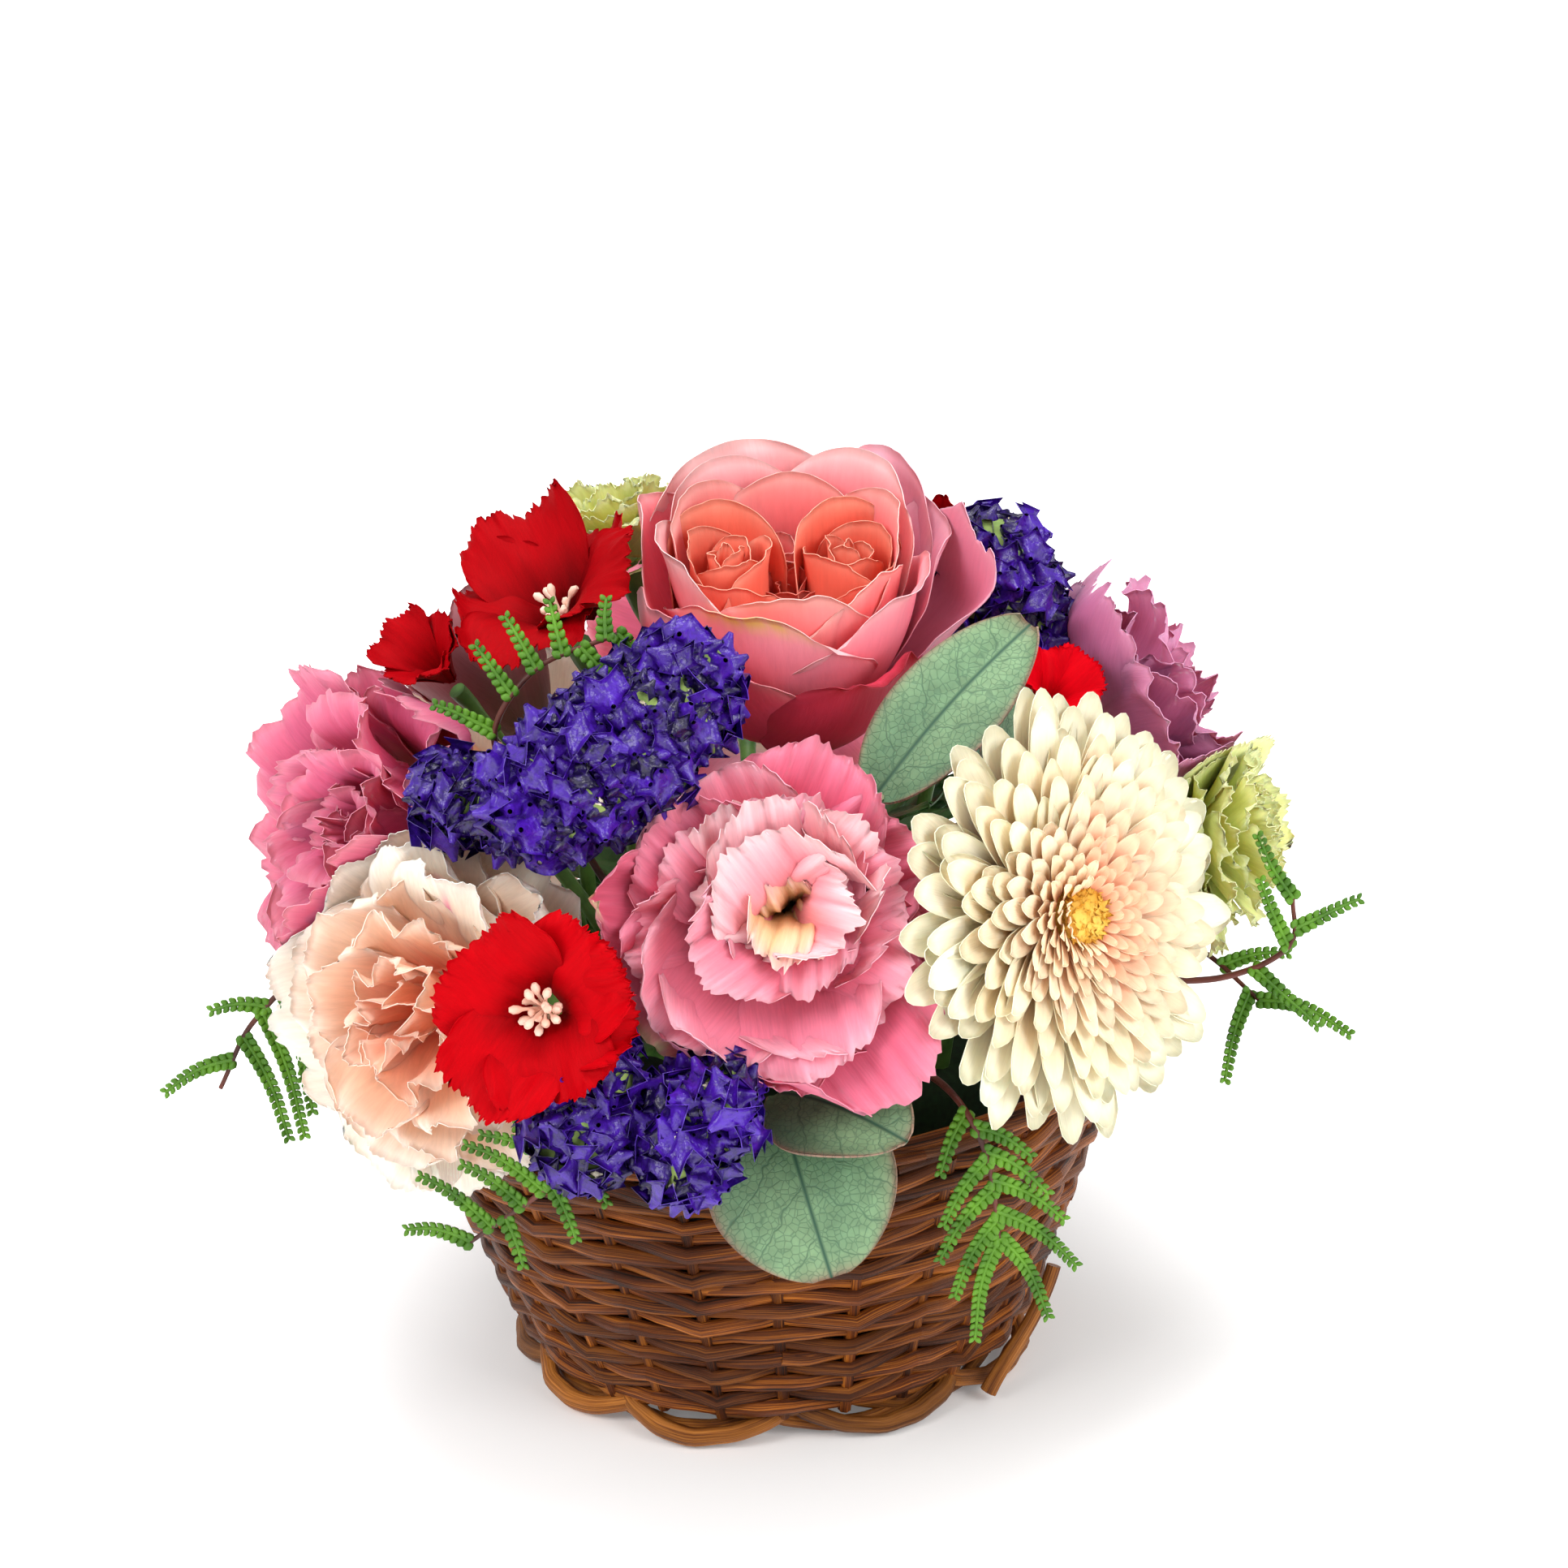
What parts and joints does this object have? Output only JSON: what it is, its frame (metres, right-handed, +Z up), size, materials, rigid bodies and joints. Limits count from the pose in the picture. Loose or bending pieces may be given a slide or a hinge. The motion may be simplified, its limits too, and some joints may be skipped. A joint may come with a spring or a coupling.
{
  "type": "flower basket arrangement",
  "caption": "Round flared willow basket holding a dome of cut flowers, statice, eucalyptus leaves and trailing coral fern, standing freely on a table.",
  "frame": {"origin": "the basket's axis at the height of the table it stands on, which is the middle of the bounding box's base to within 1.7 mm", "axes": "+Z up, +X to the right as the front is looked at, and -Y towards whoever looks at the front; the front is the side with the large lisianthus and the gerbera"},
  "size_m": [0.2102, 0.1804, 0.1626],
  "materials": {
    "willow": "satin",
    "willow_foot": "satin",
    "liner_film": "satin",
    "wet_foam": "matte",
    "stem_green": "satin",
    "fern_green": "matte",
    "eucalyptus_leaf": "matte",
    "statice_violet": "matte",
    "rose_petal": "satin",
    "pink_petal": "matte",
    "left_pink_petal": "matte",
    "mauve_petal": "matte",
    "bud_petal": "matte",
    "gerbera_petal": "satin",
    "peach_petal": "satin",
    "red_petal": "matte",
    "green_petal": "matte"
  },
  "bodies": {
    "root": {"basket_base": "willow", "basket_foot": "willow_foot", "basket_rim": "willow", "basket_wall": "willow", "carnation_back": "peach_petal", "carnation_back_stem": "stem_green", "carnation_peach": "peach_petal", "carnation_peach_stem": "stem_green", "dianthus_back": "red_petal", "dianthus_back_stem": "stem_green", "dianthus_front": "red_petal", "dianthus_front_stem": "stem_green", "dianthus_left": "red_petal", "dianthus_left_small": "red_petal", "dianthus_left_small_stem": "stem_green", "dianthus_left_stem": "stem_green", "dianthus_right": "red_petal", "dianthus_right_stem": "stem_green", "eucalyptus_back": "eucalyptus_leaf", "eucalyptus_front": "eucalyptus_leaf", "eucalyptus_right": "eucalyptus_leaf", "fern_front_left": "fern_green", "fern_front_right": "fern_green", "fern_left": "fern_green", "fern_right": "fern_green", "fern_right_low": "fern_green", "fern_upper_left": "fern_green", "foam": "wet_foam", "gerbera": "gerbera_petal", "gerbera_stem": "stem_green", "green_back": "green_petal", "green_back_stem": "stem_green", "green_right": "green_petal", "green_right_stem": "stem_green", "liner": "liner_film", "lisianthus_back": "pink_petal", "lisianthus_back_stem": "stem_green", "lisianthus_bud": "bud_petal", "lisianthus_bud_stem": "stem_green", "lisianthus_front": "pink_petal", "lisianthus_front_stem": "stem_green", "lisianthus_left": "left_pink_petal", "lisianthus_left_stem": "stem_green", "lisianthus_right": "mauve_petal", "lisianthus_right_stem": "stem_green", "rose": "rose_petal", "rose_stem": "stem_green", "statice_back": "statice_violet", "statice_back_stem": "stem_green", "statice_front_left": "statice_violet", "statice_front_right": "statice_violet", "statice_front_stem": "stem_green", "statice_left": "statice_violet", "statice_left_side": "statice_violet", "statice_left_stem": "stem_green", "statice_right": "statice_violet", "statice_right_stem": "stem_green"}
  },
  "joints": []
}
